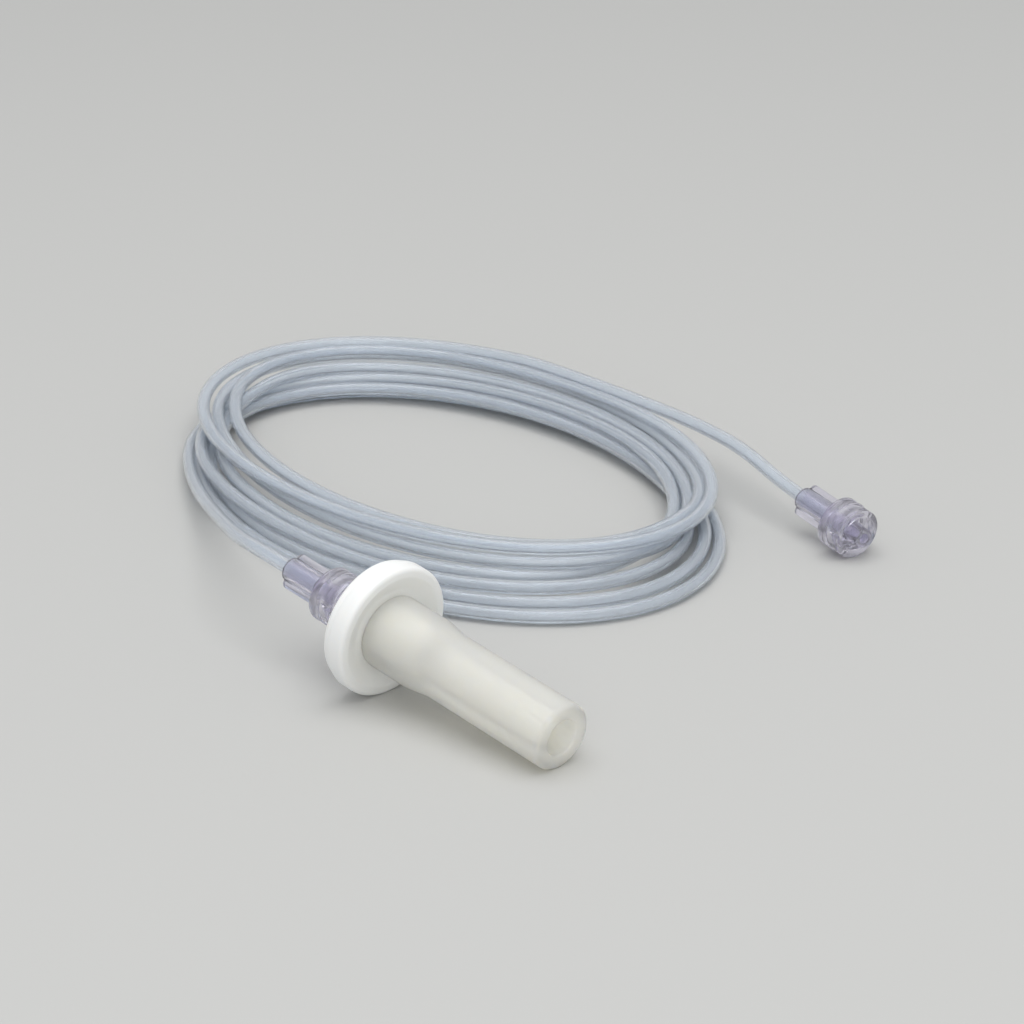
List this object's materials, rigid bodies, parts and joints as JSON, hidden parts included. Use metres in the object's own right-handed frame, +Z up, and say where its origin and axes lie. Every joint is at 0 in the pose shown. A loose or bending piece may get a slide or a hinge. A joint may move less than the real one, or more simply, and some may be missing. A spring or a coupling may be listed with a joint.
{
  "type": "nasal aspirator",
  "caption": "Oral-suction nasal aspirator: milky mouthpiece sleeve on a white disc filter, joined by a twist-lock connector to coiled clear tubing that ends in a matching lock connector.",
  "frame": {"origin": "on the floor, below the middle of the mouthpiece, filter and near connector", "axes": "+X along the device towards the mouthpiece's open end, +Z up, the coil lies on the +Y side"},
  "size_m": [0.186, 0.1458, 0.026],
  "materials": {
    "milky_silicone": "translucent milky silicone, satin moulded",
    "white_shell": "opaque white moulded plastic, soft gloss",
    "membrane": "fine porous white membrane",
    "membrane_backing": "matt non-woven pad",
    "clear_violet_plastic": "clear moulded plastic with a faint violet tint",
    "clear_tubing": "clear soft vinyl, smooth and glossy"
  },
  "bodies": {
    "line": {"near_connector_body": "clear_violet_plastic", "tubing_near_run": "clear_tubing", "tubing_coil": "clear_tubing", "tubing_far_run": "clear_tubing", "far_connector_body": "clear_violet_plastic"},
    "near_collar": {"near_connector_collar": "clear_violet_plastic"},
    "filter": {"filter_back_shell": "white_shell", "filter_front_shell": "white_shell", "filter_membrane": "membrane", "membrane_backing": "membrane_backing"},
    "mouthpiece": {"mouthpiece": "milky_silicone"},
    "far_collar": {"far_connector_collar": "clear_violet_plastic"}
  },
  "joints": [
    {"name": "near_collar_turn", "type": "hinge", "parent": "line", "child": "near_collar", "pos_m": [-0.02216, 0, 0.01475], "axis": [-0.9894, 0, 0.1455], "range_deg": [0, 165]},
    {"name": "filter_pull_off", "type": "slide", "parent": "line", "child": "filter", "axis": [0.9894, 0, -0.1455], "range_m": [0, 0.00229]},
    {"name": "mouthpiece_pull_off", "type": "slide", "parent": "filter", "child": "mouthpiece", "axis": [0.9894, 0, -0.1455], "range_m": [0, 0.0126]},
    {"name": "far_collar_turn", "type": "hinge", "parent": "line", "child": "far_collar", "pos_m": [0.00631, 0.11089, 0.00555], "axis": [0.979, -0.1551, -0.1323], "continuous": true}
  ],
  "couplings": [
    {"joint": "near_collar_turn", "follows": "filter_pull_off", "rad_per_m": 1256.6}
  ]
}
